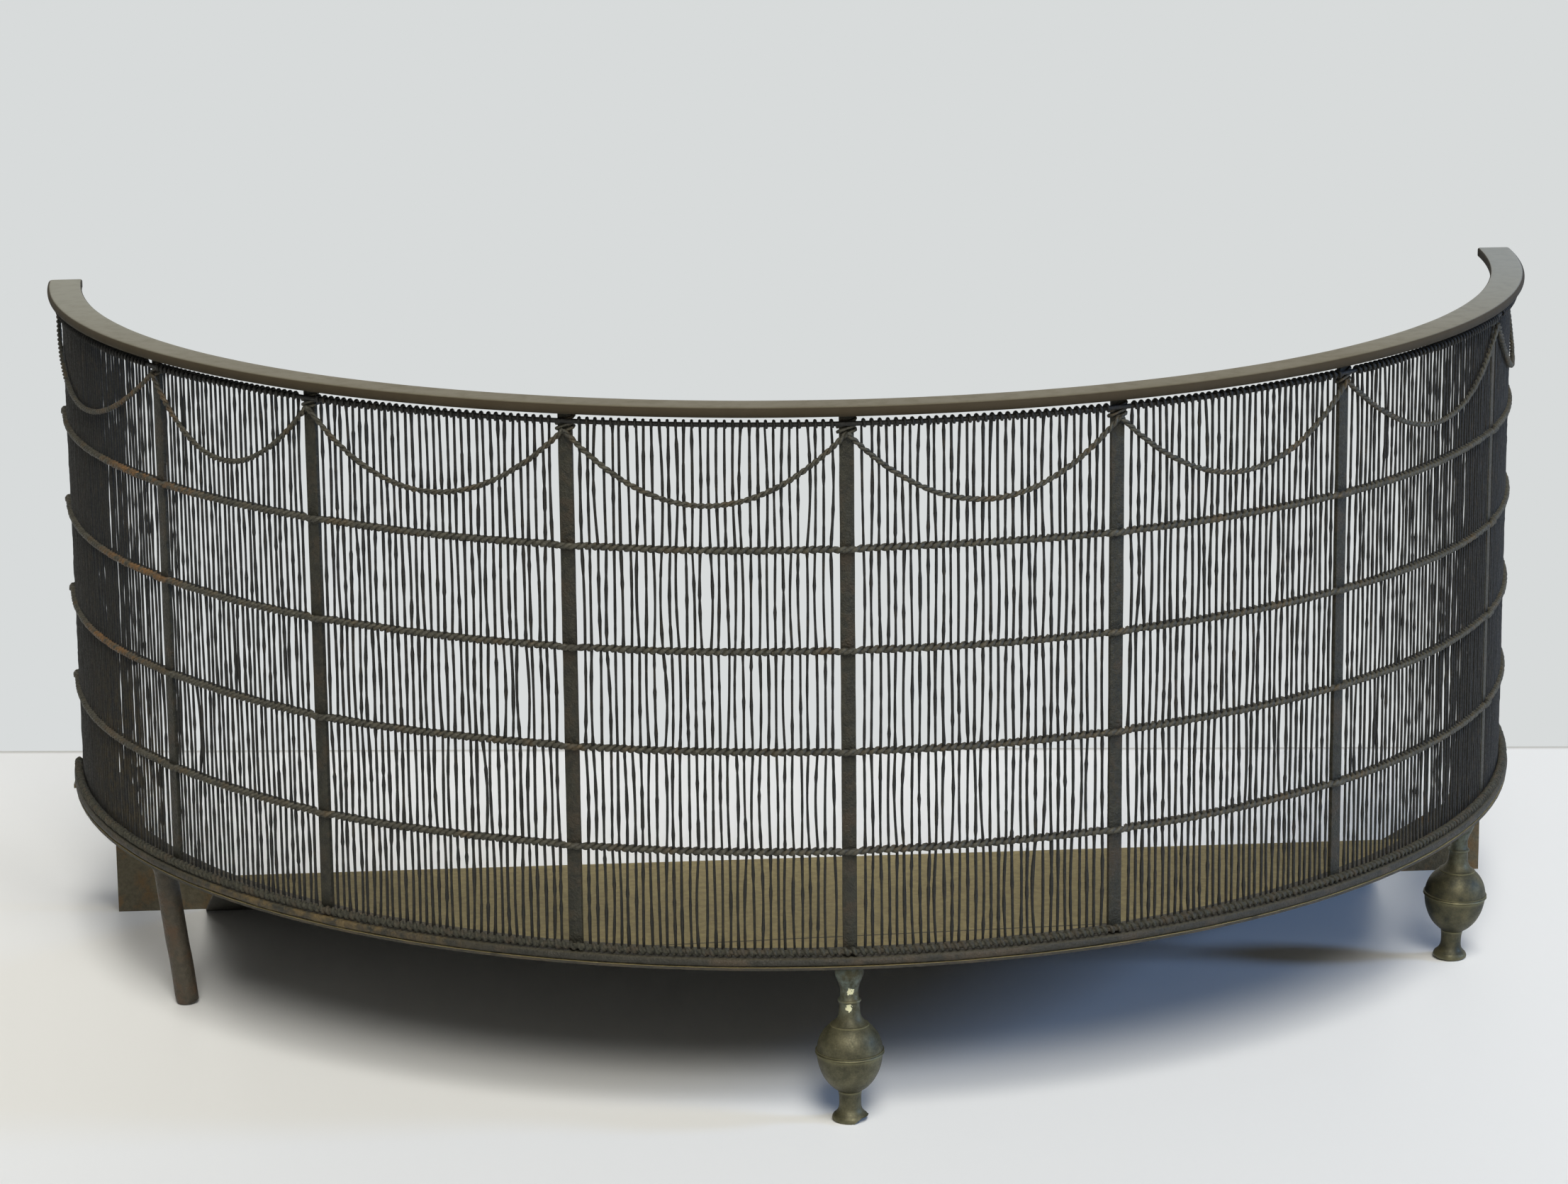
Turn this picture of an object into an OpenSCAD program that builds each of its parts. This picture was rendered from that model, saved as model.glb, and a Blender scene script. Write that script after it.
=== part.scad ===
// Bow-fronted fire fender: a wire screen on iron posts, between an iron curb on feet
// and a brass-covered top rail. The floor is Z = 0, the front faces -Y, and the open
// back faces +Y. The origin lies on the floor, in the middle of the fender's outline.

/* [Screen] */
// Radius of the bowed screen, at the outer face of its posts and wires
screen_r = 597; // [560:1:640]
// Angle from the middle of the front to the post at each rear end
end_angle = 87; // [84:0.5:88]
// Height of the screen, from the top of the curb to the underside of the rail
screen_h = 402; // [392:2:460]
// Angle from the middle to the posts on both sides of the middle one
inner_post_angle = 19.5; // [18:0.1:21]
// Angle from the middle to the next posts out
outer_post_angle = 40; // [37:0.1:42]
// Angle from the middle to the left side post, which the maker set a little forward
left_side_angle = 57.5; // [54:0.5:60]
// Angle from the middle to the right side post, which the maker set a little back
right_side_angle = 65.5; // [64:0.5:68]

/* [Posts and wires] */
// Width of a flat iron post, along the screen
post_w = 11; // [9:0.5:14]
// Thickness of a post, through the screen
post_t = 4; // [3.4:0.2:6]
// Width of the tenons that are riveted into the curb and the rail
tenon_w = 6; // [4:0.5:8]
// Thickness of those tenons
tenon_t = 2.6; // [2:0.2:3]
// Diameter of an upright wire
wire_d = 2.6; // [2.2:0.1:3]
// Spacing of the upright wires
wire_pitch = 5.75; // [5:0.25:9]

/* [Ropes of twisted wire] */
// Diameter of the four level wire ropes
row_d = 5.5; // [4.5:0.25:6.5]
// Height of the lowest of them above the curb
first_row_h = 79; // [70:1:85]
// Height from the highest of them to the lowest point of the swags
row_to_swag = 33; // [20:1:60]
// How far the level ropes, the top wire and the bottom rope run past the rear posts
rope_over = 9; // [7:0.5:11]
// Diameter of the thick rope along the foot of the screen
bottom_rope_d = 7; // [5:0.5:8]
// Diameter of the wire that the upright wires hook over
top_wire_d = 4; // [3:0.25:5]
// Height from that wire's centre to the underside of the rail
top_wire_drop = 6; // [5:0.5:10]
// Diameter of a hanging swag
swag_d = 5; // [4:0.25:6]
// Depth of a swag, from its ends to its lowest point
swag_sag = 52; // [35:1:56]
// Height from a swag's ends to the centre of the top wire
swag_drop = 7; // [6:0.5:9]
// Distance from the middle of a post to the end of the swag on each side of it
swag_end = 4.5; // [4:0.25:5]

/* [Rail] */
// Width of the brass rail, seen from above
rail_w = 28; // [26:0.5:34]
// Height of the rail
rail_t = 8; // [7:0.5:10]
// How far the rail's nose stands out past the screen
rail_nose = 11; // [9:0.5:13]
// Thickness of the brass sheet that wraps the rail's iron core
brass_t = 1.2; // [0.8:0.1:1.5]
// Width of the lips that the brass turns under the core
lip_w = 5; // [3:0.5:6]
// How far the rail runs past the rear posts
rail_over = 15; // [12:1:24]
// Length of the brass cap that closes each end of the rail
cap_l = 6; // [5:0.5:7]
// Radius of the rounded corners of those caps
cap_r = 4; // [2:0.5:4.5]

/* [Curb and base plate] */
// Width of the iron curb that the screen stands on
curb_w = 29.5; // [28:0.5:36]
// Thickness of the curb
curb_t = 7; // [5:0.5:10]
// How far the curb stands out past the screen
curb_nose = 8; // [7:0.5:9]
// How far the curb runs past the rear posts
curb_over = 10; // [8:1:12]
// Thickness of the sheet-iron base plate
base_t = 2; // [1.5:0.25:3]
// How far the plate's rim stays back from the curb's
base_inset = 1; // [0.5:0.25:3]
// Depth of the plate, from the front of its rim to its straight back edge
base_depth = 272; // [200:2:300]
// Half the width of the plate's back slope, where it meets the floor
slope_half_w = 500; // [488:1:504]

/* [Feet] */
// Height of the feet, from the floor to the underside of the base plate
foot_h = 122; // [112:1:140]
// Distance of the front feet's tops behind the face of the screen
foot_in = 11; // [10.5:0.25:12]
// Angle from the middle of the front to the left leg
left_leg_angle = 61.8; // [60.5:0.1:62.5]
// Angle from the middle of the front to the right foot
right_foot_angle = 63.4; // [62.5:0.1:64]
// Angle that the left leg leans inwards
left_leg_lean = 7.5; // [5:0.5:9]
// Angle that the right foot leans inwards
right_foot_lean = 3.5; // [2:0.5:6]
// Diameter of the brass ball
ball_d = 49; // [44:0.5:52]
// Height from the ball's middle to the top of the foot
ball_drop = 68; // [65:0.5:70]
// Depth that the ball's lower half would have if the throat did not cut it short
bowl_h = 33; // [30:0.5:34]
// Wall of the hollow ball
ball_wall = 2.5; // [1.5:0.25:4]
// Diameter of the bead round the ball's middle
bead_d = 51.5; // [50:0.5:54]
// Height of that bead
bead_t = 3.6; // [3:0.2:5]
// Diameter of the shoulder ring that sits on the ball
shoulder_d = 28; // [24:0.5:30]
// Diameter of the neck above the ball
neck_d = 15.6; // [14:0.2:16.6]
// Diameter of the small bead half way up the neck
ring_d = 17.6; // [17:0.2:20]
// Diameter of the waist below the top bead
waist_d = 13.2; // [12.4:0.2:14]
// Diameter of the bead at the top of the foot
collar_d = 21.6; // [18:0.2:24]
// Diameter of the throat between the ball and the pad
throat_d = 16.4; // [14:0.2:17]
// Diameter of the pad that stands on the floor
pad_d = 27.2; // [25:0.2:32]
// Diameter of the iron rod through a brass foot
rod_d = 8; // [6:0.5:9]
// Diameter of the plain iron leg at the left
leg_d = 19; // [15:0.5:22]
// Diameter of the tenon that rivets that leg through the curb
leg_tenon_d = 10; // [7:0.5:12]

/* [Rear feet] */
// Thickness of the sheet-iron foot under each rear end
rear_t = 3; // [2:0.25:4]
// Distance from the curb's rim in to the left foot's outer edge
rear_left_in = 32; // [28:1:36]
// Distance from the curb's rim in to the right foot's outer edge
rear_right_in = 13; // [11:1:25]
// Length of a rear foot along the floor
toe_l = 98; // [70:2:110]
// Height of its toe
toe_h = 20; // [14:1:26]
// Width of its stem, just under the curb
stem_w = 14; // [10:1:16]
// Depth of the tab that turns forward under the curb
tab_l = 34; // [30:1:40]
// Diameter of the rivets through the tab
rivet_d = 5; // [4:0.5:6]
// Diameter of the rivets' heads
rivet_head_d = 9; // [8:0.5:10]
// Height of the rivets' heads
rivet_head_t = 2.4; // [1.5:0.1:3]

/* [Hidden] */

// Clearance between pieces that seat on, pass or sit inside one another
fit = 0.2;
// Overshoot of a cutting shape past the face that it cuts
cut = 1;
$fn = 120;

iron = "#3a352b";
rusty = "#6b5138";
rope_iron = "#5a5547";
brass = "#7a7455";

// Angle in degrees that a length takes up along the screen's face
function turn_of(length) = length / screen_r * 180 / PI;

// Heights, from the floor up
base_z = foot_h;
curb_z = base_z + base_t + fit;
curb_top = curb_z + curb_t;
rail_z = curb_top + screen_h;
top_wire_z = rail_z - top_wire_drop;
swag_z = top_wire_z - swag_drop;
first_row_z = curb_top + first_row_h;
row_gap = (swag_z - swag_sag - row_to_swag - first_row_z) / 3;
core_z = rail_z + brass_t + fit;

// Radii, from the middle of the bow
post_mid_r = screen_r - post_t / 2;
wire_r = screen_r - wire_d / 2;
rail_ri = screen_r + rail_nose - rail_w;
curb_ri = screen_r + curb_nose - curb_w;
base_r = curb_ri + curb_w - base_inset;
foot_r = screen_r - foot_in;

// Angles, from the middle of the front, positive to the right
post_turns = [-end_angle, -left_side_angle, -outer_post_angle, -inner_post_angle, 0,
    inner_post_angle, outer_post_angle, right_side_angle, end_angle];
rail_turn = end_angle + turn_of(rail_over);
cap_turn = turn_of(cap_l);
curb_turn = end_angle + turn_of(curb_over);
rope_turn = end_angle + turn_of(rope_over);

// The middle of the outline, from the front foot's ball or the rail to the rail's rear ends
front_r = max(screen_r + rail_nose, foot_r + bead_d / 2);
mid_y = (front_r + rail_ri * cos(rail_turn)) / 2;

// The rear feet stand under the curb, this far forward of the middle of the bow
rear_y = (curb_ri + curb_w) * cos(curb_turn) + cut;

// Sections of the brass foot, measured up from the floor or down from its top
rod_floor = 6;
ball_z = foot_h - ball_drop;
ball_r = ball_d / 2;
seat_r = throat_d / 2;
seat_h = sqrt(ball_r * ball_r - seat_r * seat_r);
bowl_seat_h = bowl_h / ball_r * seat_h;
pad_top = ball_z - bowl_seat_h - fit;
pad_edge_z = pad_top / 5;
throat_z = pad_top * 2 / 3;
shoulder_t = 1.6;
flare_h = 8;
collar_h = 10;
collar_low = 11.5;
cone_h = 22;
ring_low = 29;
ring_h = 4;

// A section swept along the bow: X is the radius and Y the height
module bow(turn) {
    translate([0, mid_y, 0])
        rotate([0, 0, -90 - turn])
            rotate_extrude(angle = 2 * turn)
                children();
}

// A place on the bow, with +Y pointing in to the middle
module at(turn, r) {
    translate([0, mid_y, 0])
        rotate([0, 0, turn])
            translate([0, -r, 0])
                children();
}

// A bar with one half-round edge and one softened edge, for the rail's section
module nosed_bar(w, t, soft) {
    translate([soft, 0])
        square([w - soft - t / 2, t]);
    translate([0, soft])
        square([w - t / 2, t - 2 * soft]);
    for (y = [soft, t - soft])
        translate([soft, y])
            circle(r = soft);
    translate([w - t / 2, t / 2])
        circle(r = t / 2);
}

// ---- Rail ----

module rail_outline() {
    rail_soft = 1.5;
    translate([rail_ri, rail_z])
        nosed_bar(rail_w, rail_t, rail_soft);
}

// The brass is a sheet folded round the core, open below between its two lips
module brass_rail() {
    hollow_w = rail_w - rail_t / 2 - brass_t;
    hollow_t = rail_t - 2 * brass_t;
    color(brass)
        bow(rail_turn - cap_turn)
            difference() {
                rail_outline();
                translate([rail_ri + brass_t, rail_z + brass_t])
                    square([hollow_w, hollow_t]);
                translate([rail_ri + lip_w, rail_z - cut])
                    square([rail_w - rail_t / 2 - 2 * lip_w, rail_t / 2 + cut]);
            }
}

module rail_end_caps() {
    block_l = cap_l * rail_ri / screen_r - 2 * fit;
    color(brass)
        for (side = [-1, 1])
            intersection() {
                bow(rail_turn)
                    rail_outline();
                at(side * rail_turn, rail_ri)
                    mirror([side > 0 ? 1 : 0, 0, 0])
                        translate([0, 0, rail_z - cut])
                            rounded_end(block_l, rail_w, rail_t + 2 * cut);
            }
}

// A block that ends in two rounded corners at X = 0
module rounded_end(l, w, h) {
    intersection() {
        translate([0, -w, 0])
            cube([l, w, h]);
        union() {
            translate([cap_r, -w, 0])
                cube([l, w, h]);
            translate([0, -w + cap_r, 0])
                cube([l, w - 2 * cap_r, h]);
            for (y = [-cap_r, -w + cap_r])
                translate([cap_r, y, 0])
                    cylinder(r = cap_r, h = h);
        }
    }
}

// The flat iron bar inside the brass, slotted for the posts' tenons
module rail_core() {
    core_w = rail_w - rail_t / 2 - brass_t - 2 * fit;
    core_t = rail_t - 2 * brass_t - 2 * fit;
    color(iron)
        difference() {
            bow(rail_turn - cap_turn - turn_of(fit))
                translate([rail_ri + brass_t + fit, core_z])
                    square([core_w, core_t]);
            for (turn = post_turns)
                at(turn, post_mid_r)
                    tenon(core_z - cut, core_t + 2 * cut, fit);
        }
}

// ---- Posts and wires ----

// A post's tenon, or its slot when it is made larger by a clearance
module tenon(z, h, clearance) {
    w = tenon_w + 2 * clearance;
    t = tenon_t + 2 * clearance;
    translate([-w / 2, -t / 2, z])
        cube([w, t, h]);
}

module post(number) {
    foot_z = curb_top + fit;
    top_z = core_z - fit;
    core_t = rail_t - 2 * brass_t - 2 * fit;
    color(iron)
        at(post_turns[number - 1], post_mid_r) {
            translate([-post_w / 2, -post_t / 2, foot_z])
                cube([post_w, post_t, top_z - foot_z]);
            tenon(base_z + fit, foot_z - base_z, 0);
            tenon(top_z - cut, core_t + fit + cut, 0);
        }
}

// The upright wires between one post and the next
module wire_panel(number) {
    edge = turn_of(post_w / 2);
    from = post_turns[number - 1] + edge;
    to = post_turns[number] - edge;
    count = round((to - from) / turn_of(wire_pitch)) - 1;
    step = (to - from) / (count + 1);
    wire_z = curb_top + fit;
    wire_h = top_wire_z + top_wire_d / 2 - wire_z;
    color(iron)
        for (i = [1 : count])
            at(from + i * step, wire_r)
                translate([0, 0, wire_z])
                    cylinder(d = wire_d, h = wire_h, $fn = 24);
}

// A rope or wire that follows the face of the screen
module level_rope(z, d) {
    bow(rope_turn)
        translate([screen_r + fit + d / 2, z])
            circle(d = d, $fn = 32);
}

module top_wire() {
    color(iron)
        level_rope(top_wire_z, top_wire_d);
}

module row_rope(number) {
    color(rope_iron)
        level_rope(first_row_z + (number - 1) * row_gap, row_d);
}

module bottom_rope() {
    color(rope_iron)
        level_rope(curb_top + fit + bottom_rope_d / 2, bottom_rope_d);
}

// ---- Swags ----

swag_rings = 28;
swag_sides = 8;
swag_r = screen_r + fit + swag_d / 2;

// A point on a swag's middle line, at share u of the way between its ends
function swag_turn(a, b, u) = a + (b - a) * u;
function swag_point(a, b, u) = [
    swag_r * sin(swag_turn(a, b, u)),
    mid_y - swag_r * cos(swag_turn(a, b, u)),
    swag_z - 4 * swag_sag * u * (1 - u)];

// A ring of points round that line, square to it
function swag_ring(a, b, u) =
    let (outward = [sin(swag_turn(a, b, u)), -cos(swag_turn(a, b, u)), 0],
        du = 0.001,
        ahead = swag_point(a, b, u + du) - swag_point(a, b, u - du),
        along = ahead / norm(ahead),
        across = cross(along, outward))
    [for (k = [0 : swag_sides - 1])
        let (way = 360 * k / swag_sides)
        swag_point(a, b, u) + swag_d / 2 * (cos(way) * outward + sin(way) * across)];

module swag(number) {
    a = post_turns[number - 1] + turn_of(swag_end);
    b = post_turns[number] - turn_of(swag_end);
    points = [for (i = [0 : swag_rings]) each swag_ring(a, b, i / swag_rings)];
    sides = [for (i = [0 : swag_rings - 1]) for (k = [0 : swag_sides - 1])
        let (p = i * swag_sides + k, q = i * swag_sides + (k + 1) % swag_sides)
        each [[p, q, q + swag_sides], [p, q + swag_sides, p + swag_sides]]];
    first_end = [[for (k = [swag_sides - 1 : -1 : 0]) k]];
    last_end = [[for (k = [0 : swag_sides - 1]) swag_rings * swag_sides + k]];
    color(rope_iron)
        polyhedron(points = points, faces = concat(sides, first_end, last_end));
}

// ---- Curb and base plate ----

// Slots and holes through the curb and the plate, for whatever is riveted into them
module fixings() {
    low = base_z - cut;
    tall = base_t + curb_t + 2 * cut;
    for (turn = post_turns)
        at(turn, post_mid_r)
            tenon(low, tall, fit);
    at(0, foot_r)
        translate([0, 0, low])
            cylinder(d = rod_d + 2 * fit, h = tall + cut);
    at_side(1)
        translate([0, 0, -tall])
            cylinder(d = rod_d + 2 * fit, h = 3 * tall);
    at_side(-1)
        translate([0, 0, -tall])
            cylinder(d = leg_tenon_d + 2 * fit, h = 3 * tall);
    for (side = [-1, 1])
        for (y = rivet_ys)
            translate([side * rivet_x, mid_y - y, low])
                cylinder(d = rivet_d + 2 * fit, h = tall + cut);
}

module curb() {
    curb_soft = 2;
    color(rusty)
        difference() {
            bow(curb_turn)
                translate([curb_ri, curb_z])
                    nosed_bar(curb_w, curb_t, curb_soft);
            fixings();
        }
}

// The back of the plate, bent down from its straight edge to the floor by the rear feet
module back_slope(back_y) {
    step = base_t / 5;
    bend_y = mid_y - back_y + step;
    land_y = mid_y - rear_y - rear_t - 2 * fit;
    top = base_z + base_t - step;
    steep = atan2(top, land_y - bend_y);
    land = base_t / sin(steep);
    root_z = base_z + base_t / 2;
    root_y = bend_y + (top - root_z) / tan(steep) - land;
    bend_half_w = sqrt(pow(curb_ri, 2) - pow(back_y, 2)) - base_t;
    intersection() {
        rotate([90, 0, 90])
            translate([0, 0, -base_r])
                linear_extrude(2 * base_r)
                    polygon([[root_y, root_z], [root_y, top], [bend_y, top],
                        [land_y, 0], [land_y - land, 0]]);
        translate([0, 0, -cut])
            linear_extrude(top + 2 * cut)
                polygon([[-bend_half_w, root_y - cut], [bend_half_w, root_y - cut],
                    [slope_half_w, land_y + cut], [-slope_half_w, land_y + cut]]);
    }
}

module base_plate() {
    back_y = base_r - base_depth;
    color(rusty)
        difference() {
            union() {
                back_slope(back_y);
                bow(curb_turn)
                    translate([curb_ri, base_z])
                        square([base_r - curb_ri, base_t]);
                intersection() {
                    translate([0, mid_y, base_z])
                        cylinder(r = (base_r + curb_ri) / 2, h = base_t);
                    translate([-base_r, mid_y - base_r, base_z - cut])
                        cube([2 * base_r, base_r - back_y, base_t + 2 * cut]);
                }
            }
            fixings();
        }
}

// ---- Feet ----

// The places of the side legs' tops, from which they lean in towards the floor
module at_side(side) {
    at(side < 0 ? -left_leg_angle : right_foot_angle, foot_r)
        translate([0, 0, base_z])
            rotate([side < 0 ? left_leg_lean : right_foot_lean, 0, 0])
                children();
}

// Length of a leaning foot that seats under the plate and touches the floor
function lean_length(top_r, foot_radius, lean) =
    (foot_h - fit - (top_r + foot_radius) * sin(lean)) / cos(lean);

// Stands a foot's piece, drawn upwards from its own sole, at the front or at the right
module stand(spot) {
    if (spot == "front")
        at(0, foot_r)
            children();
    else
        at_side(1)
            translate([0, 0, -brass_length(spot) - lean_seat])
                children();
}

lean_seat = fit + collar_d / 2 * sin(right_foot_lean);
function brass_length(spot) =
    spot == "front" ? foot_h - fit : lean_length(collar_d / 2, pad_d / 2, right_foot_lean);

// The turned neck: shoulder ring, flare, neck, small bead, waist, cone and top bead
module foot_neck(spot) {
    top = brass_length(spot);
    neck_r = neck_d / 2;
    cone_r = collar_d / 2 - collar_h / 8;
    shoulder_z = ball_z + sqrt(ball_r * ball_r - shoulder_d * shoulder_d / 4);
    color(brass)
        stand(spot)
            difference() {
                rotate_extrude() {
                    translate([0, ball_z + seat_h])
                        square([waist_d / 2, top - ball_z - seat_h]);
                    translate([0, ball_z + seat_h])
                        square([neck_r, top - ring_low - ball_z - seat_h]);
                    translate([0, shoulder_z])
                        square([shoulder_d / 2, shoulder_t]);
                    translate([0, shoulder_z + shoulder_t])
                        polygon([[0, 0], [shoulder_d / 2 - 1, 0], [neck_r + 2, flare_h / 3],
                            [neck_r, flare_h], [0, flare_h]]);
                    bead(top - ring_low, ring_h, ring_d);
                    polygon([[0, top - cone_h], [waist_d / 2, top - cone_h],
                        [cone_r, top - collar_low + collar_h / 5],
                        [0, top - collar_low + collar_h / 5]]);
                    bead(top - collar_low + collar_h / 2, collar_h, collar_d);
                    translate([0, top - collar_h / 4])
                        square([collar_d / 2 - collar_h / 4, collar_h / 4]);
                }
                translate([0, 0, ball_z])
                    sphere(r = ball_r + fit);
                translate([0, 0, ball_z])
                    cylinder(d = rod_d + 2 * fit, h = top);
            }
}

// Half the section of a turned bead
module bead(z, h, d) {
    translate([d / 2 - h / 2, z])
        circle(d = h);
    translate([0, z - h / 2])
        square([d / 2 - h / 2, h]);
}

// Half of the ball's section inside a wall: round above the middle and deeper below it
module ball_section(wall) {
    r = ball_r - wall;
    translate([0, ball_z])
        intersection() {
            union() {
                intersection() {
                    circle(r = r);
                    translate([0, -cut])
                        square([r, r + cut]);
                }
                intersection() {
                    scale([1, (bowl_h - wall) / r])
                        circle(r = r);
                    translate([0, -bowl_h])
                        square([r, bowl_h]);
                }
            }
            translate([0, -bowl_seat_h])
                square([ball_r, bowl_seat_h + seat_h]);
        }
}

module ball_half(spot, top_half) {
    joint_z = ball_z - bead_t / 2;
    color(brass)
        stand(spot)
            difference() {
                rotate_extrude()
                    difference() {
                        union() {
                            ball_section(0);
                            if (top_half)
                                bead(ball_z, bead_t, bead_d);
                        }
                        hollow();
                        if (top_half)
                            translate([0, joint_z - 2 * ball_d])
                                square([ball_d, 2 * ball_d]);
                        else
                            translate([0, joint_z - fit])
                                square([ball_d, ball_d]);
                    }
                translate([0, 0, ball_z - ball_d])
                    cylinder(d = rod_d + 2 * fit, h = 2 * ball_d);
            }
}

// The space inside the ball, closed below by the wall that the throat seats against
module hollow() {
    intersection() {
        ball_section(ball_wall);
        translate([0, ball_z - bowl_seat_h + ball_wall])
            square([ball_r, 2 * ball_d]);
    }
}

// The throat and pad, turned in one with a hollow curve between them
module foot_pad(spot) {
    flare = (pad_d - throat_d) / 2;
    rise = throat_z - pad_edge_z;
    flare_r = (flare * flare + rise * rise) / (2 * flare);
    color(brass)
        stand(spot)
            difference() {
                rotate_extrude() {
                    difference() {
                        square([pad_d / 2, throat_z]);
                        translate([throat_d / 2 + flare_r, throat_z])
                            circle(r = flare_r);
                        translate([pad_d / 2 - cut, -cut])
                            rotate(45)
                                square([2 * cut, 2 * cut], center = true);
                    }
                    square([throat_d / 2, pad_top]);
                }
                translate([0, 0, rod_floor])
                    cylinder(d = rod_d + 2 * fit, h = pad_top);
            }
}

// The iron rod that holds a brass foot's pieces together and rivets into the curb
module foot_rod(spot) {
    top = curb_top - base_z + brass_length(spot) - fit;
    color(iron)
        stand(spot)
            translate([0, 0, rod_floor + fit])
                cylinder(d = rod_d, h = top - rod_floor - fit);
}

// The plain leg at the left, with a tenon up through the plate and the curb
module left_leg() {
    length = lean_length(leg_d / 2, leg_d / 2, left_leg_lean);
    seat = fit + leg_d / 2 * sin(left_leg_lean);
    color(iron)
        at_side(-1) {
            translate([0, 0, -seat - length])
                cylinder(d = leg_d, h = length);
            translate([0, 0, -seat - cut])
                cylinder(d = leg_tenon_d, h = base_t + curb_t + seat + cut - fit);
        }
}

// ---- Rear feet ----

rivet_x = curb_ri + rivet_head_d;
rivet_ys = [rear_y + tab_l / 4, rear_y + tab_l * 3 / 4];

// A sheet-iron foot, drawn for the left: stem, spread toe and a tab under the curb
module rear_foot(in) {
    top = base_z - fit;
    shoulder_h = top / 2;
    tab_out = curb_ri + curb_w - 2 * base_inset;
    outer_x = curb_ri + curb_w - in;
    color(rusty)
        translate([0, mid_y - rear_y, 0]) {
            rotate([90, 0, 0])
                linear_extrude(rear_t)
                    polygon([[-outer_x, 0], [-outer_x + toe_l, 0], [-outer_x + toe_l, toe_h],
                        [-outer_x + 2 * stem_w, shoulder_h], [-outer_x + stem_w, top],
                        [-outer_x, top]]);
            difference() {
                translate([-tab_out, -tab_l, top - rear_t])
                    cube([tab_out - outer_x + stem_w, tab_l, rear_t]);
                for (y = rivet_ys)
                    translate([-rivet_x, rear_y - y, top - rear_t - cut])
                        cylinder(d = rivet_d + 2 * fit, h = rear_t + 2 * cut);
            }
        }
}

module rear_foot_left() {
    rear_foot(rear_left_in);
}

module rear_foot_right() {
    mirror([1, 0, 0])
        rear_foot(rear_right_in);
}

// Each rivet goes up through a tab, the plate and the curb
module rear_foot_rivets() {
    low = base_z - fit - rear_t - fit;
    high = curb_top + fit;
    color(iron)
        for (side = [-1, 1])
            for (y = rivet_ys)
                translate([side * rivet_x, mid_y - y, 0]) {
                    translate([0, 0, low])
                        cylinder(d = rivet_d, h = high - low);
                    translate([0, 0, high])
                        cylinder(d1 = rivet_head_d, d2 = rivet_d, h = rivet_head_t);
                    translate([0, 0, low - rivet_head_t])
                        cylinder(d1 = rivet_d, d2 = rivet_head_d, h = rivet_head_t);
                }
}

brass_rail();
rail_end_caps();
rail_core();
top_wire();
row_rope(1);  // row_rope_1
row_rope(2);  // row_rope_2
row_rope(3);  // row_rope_3
row_rope(4);  // row_rope_4
bottom_rope();
post(1);  // post_1
post(2);  // post_2
post(3);  // post_3
post(4);  // post_4
post(5);  // post_5
post(6);  // post_6
post(7);  // post_7
post(8);  // post_8
post(9);  // post_9
wire_panel(1);  // wire_panel_1
wire_panel(2);  // wire_panel_2
wire_panel(3);  // wire_panel_3
wire_panel(4);  // wire_panel_4
wire_panel(5);  // wire_panel_5
wire_panel(6);  // wire_panel_6
wire_panel(7);  // wire_panel_7
wire_panel(8);  // wire_panel_8
swag(1);  // swag_1
swag(2);  // swag_2
swag(3);  // swag_3
swag(4);  // swag_4
swag(5);  // swag_5
swag(6);  // swag_6
swag(7);  // swag_7
swag(8);  // swag_8
curb();
base_plate();
foot_neck("front");  // front_foot_neck
ball_half("front", true);  // front_foot_ball_top
ball_half("front", false);  // front_foot_ball_bottom
foot_pad("front");  // front_foot_pad
foot_rod("front");  // front_foot_rod
foot_neck("right");  // right_foot_neck
ball_half("right", true);  // right_foot_ball_top
ball_half("right", false);  // right_foot_ball_bottom
foot_pad("right");  // right_foot_pad
foot_rod("right");  // right_foot_rod
left_leg();
rear_foot_left();
rear_foot_right();
rear_foot_rivets();
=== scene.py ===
"""Bow-fronted fire fender: a screen of iron wire between a rusted curb on feet and a brass rail."""

import math
import random

import bpy
from mathutils import Matrix, Vector, noise


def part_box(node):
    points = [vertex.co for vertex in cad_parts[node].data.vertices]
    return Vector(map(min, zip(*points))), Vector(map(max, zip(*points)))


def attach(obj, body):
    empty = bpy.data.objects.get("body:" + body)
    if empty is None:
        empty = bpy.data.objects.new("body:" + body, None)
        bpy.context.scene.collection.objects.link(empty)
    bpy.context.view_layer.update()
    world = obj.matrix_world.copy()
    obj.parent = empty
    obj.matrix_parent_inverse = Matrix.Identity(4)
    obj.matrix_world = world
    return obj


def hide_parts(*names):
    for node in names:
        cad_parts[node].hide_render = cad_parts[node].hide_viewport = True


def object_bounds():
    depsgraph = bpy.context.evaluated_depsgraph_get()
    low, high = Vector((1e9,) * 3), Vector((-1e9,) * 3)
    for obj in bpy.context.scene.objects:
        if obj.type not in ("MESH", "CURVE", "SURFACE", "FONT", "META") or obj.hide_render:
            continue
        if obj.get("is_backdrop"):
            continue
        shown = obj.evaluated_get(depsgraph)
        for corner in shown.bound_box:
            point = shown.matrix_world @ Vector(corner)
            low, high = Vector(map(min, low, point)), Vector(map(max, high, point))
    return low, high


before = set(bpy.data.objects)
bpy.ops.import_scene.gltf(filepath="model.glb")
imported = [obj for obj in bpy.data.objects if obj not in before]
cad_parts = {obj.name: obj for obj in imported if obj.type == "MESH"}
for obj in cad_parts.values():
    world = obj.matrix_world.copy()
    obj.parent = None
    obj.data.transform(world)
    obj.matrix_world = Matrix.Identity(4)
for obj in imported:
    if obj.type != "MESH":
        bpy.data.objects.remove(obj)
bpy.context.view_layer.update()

# ---- Curb ----
# The flat wrought bar that carries the screen, bent on edge round the bow, with its front
# edge hammered round. It stands on a thin plate and is held to it by the feet and posts.

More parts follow.
